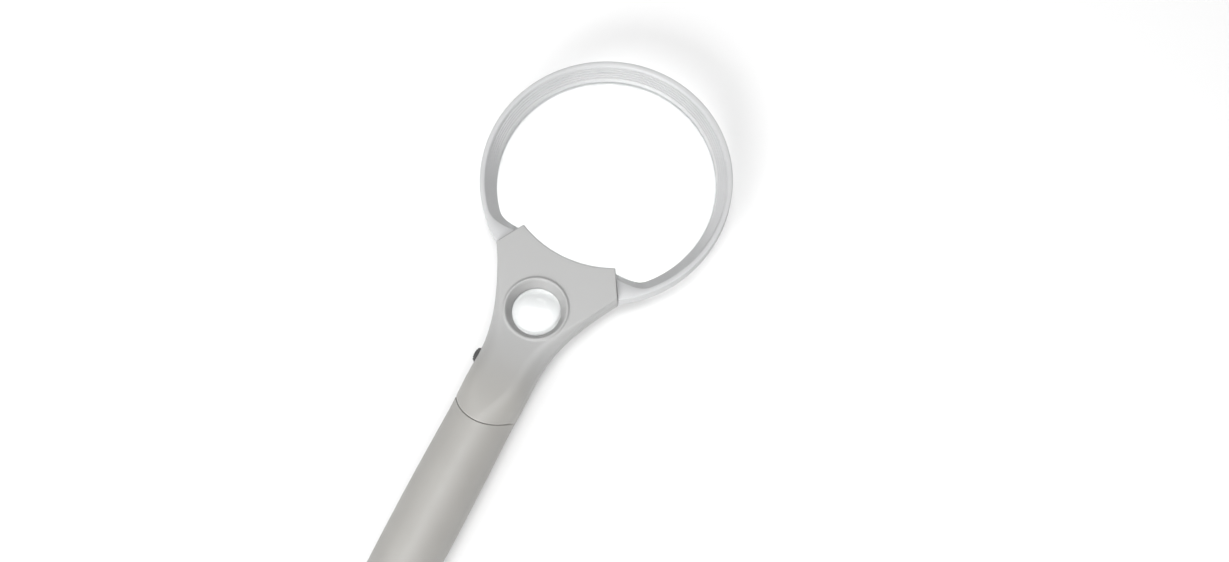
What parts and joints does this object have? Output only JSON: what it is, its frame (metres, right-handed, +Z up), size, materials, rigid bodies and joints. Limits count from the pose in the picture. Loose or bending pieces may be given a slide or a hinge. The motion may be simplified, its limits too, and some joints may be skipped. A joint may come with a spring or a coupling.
{
  "type": "low vision magnifier",
  "caption": "Hand-held low vision magnifier: large bifocal lens in a grey ring, yoke with a small strong lens and reading lights, round battery handle.",
  "frame": {"origin": "centre of the footprint, at the lowest point of the grip", "axes": "+Z up out of the viewer's side of the level lenses, +Y from the handle's end to the top of the ring, switch on the -X side"},
  "size_m": [0.1024, 0.2572, 0.0262],
  "materials": {
    "acrylic": "clear polished acrylic",
    "ring_plastic": "satin light grey moulded ABS",
    "housing_plastic": "satin silver grey moulded ABS, very fine grain",
    "cover_plastic": "satin warm grey moulded ABS",
    "collar_plastic": "satin translucent white",
    "cradle_plastic": "black moulded plastic",
    "black_plastic": "black satin plastic",
    "slider_nylon": "natural nylon",
    "circuit_board": "green solder mask",
    "led_epoxy": "clear epoxy",
    "cell_jacket": "plain satin foil jacket",
    "contact_steel": "nickel plated spring steel",
    "screw_steel": "zinc plated steel",
    "wire_red": "pvc insulation",
    "wire_black": "pvc insulation"
  },
  "bodies": {
    "housing": {"main_lens": "acrylic", "small_lens": "acrylic", "lens_ring": "ring_plastic", "front_shell": "housing_plastic", "rear_shell": "housing_plastic", "small_lens_collar": "collar_plastic", "led_window": "acrylic", "led_board": "circuit_board", "led_1": "led_epoxy", "led_2": "led_epoxy", "led_3": "led_epoxy", "resistor": "black_plastic", "switch_body": "contact_steel", "battery_cradle": "cradle_plastic", "battery_cell_1": "cell_jacket", "battery_cell_2": "cell_jacket", "battery_cell_3": "cell_jacket", "contact_spring_1": "contact_steel", "contact_spring_2": "contact_steel", "contact_spring_3": "contact_steel", "contact_tab_positive": "contact_steel", "contact_bridge_top": "contact_steel", "contact_bridge_bottom": "contact_steel", "contact_strip_negative": "contact_steel", "wire_battery_to_switch": "wire_red", "wire_switch_to_leds": "wire_red", "wire_battery_to_leds": "wire_black", "shell_screw_1": "screw_steel", "shell_screw_2": "screw_steel"},
    "switch": {"switch_knob": "black_plastic", "switch_slider": "slider_nylon"},
    "battery_cover": {"battery_cover": "cover_plastic"}
  },
  "joints": [
    {"name": "switch_slide", "type": "slide", "parent": "housing", "child": "switch", "axis": [0, 1, 0], "range_m": [0, 0.0035]},
    {"name": "battery_cover_pull", "type": "slide", "parent": "housing", "child": "battery_cover", "axis": [0, -1, 0], "range_m": [0, 0.075]}
  ]
}
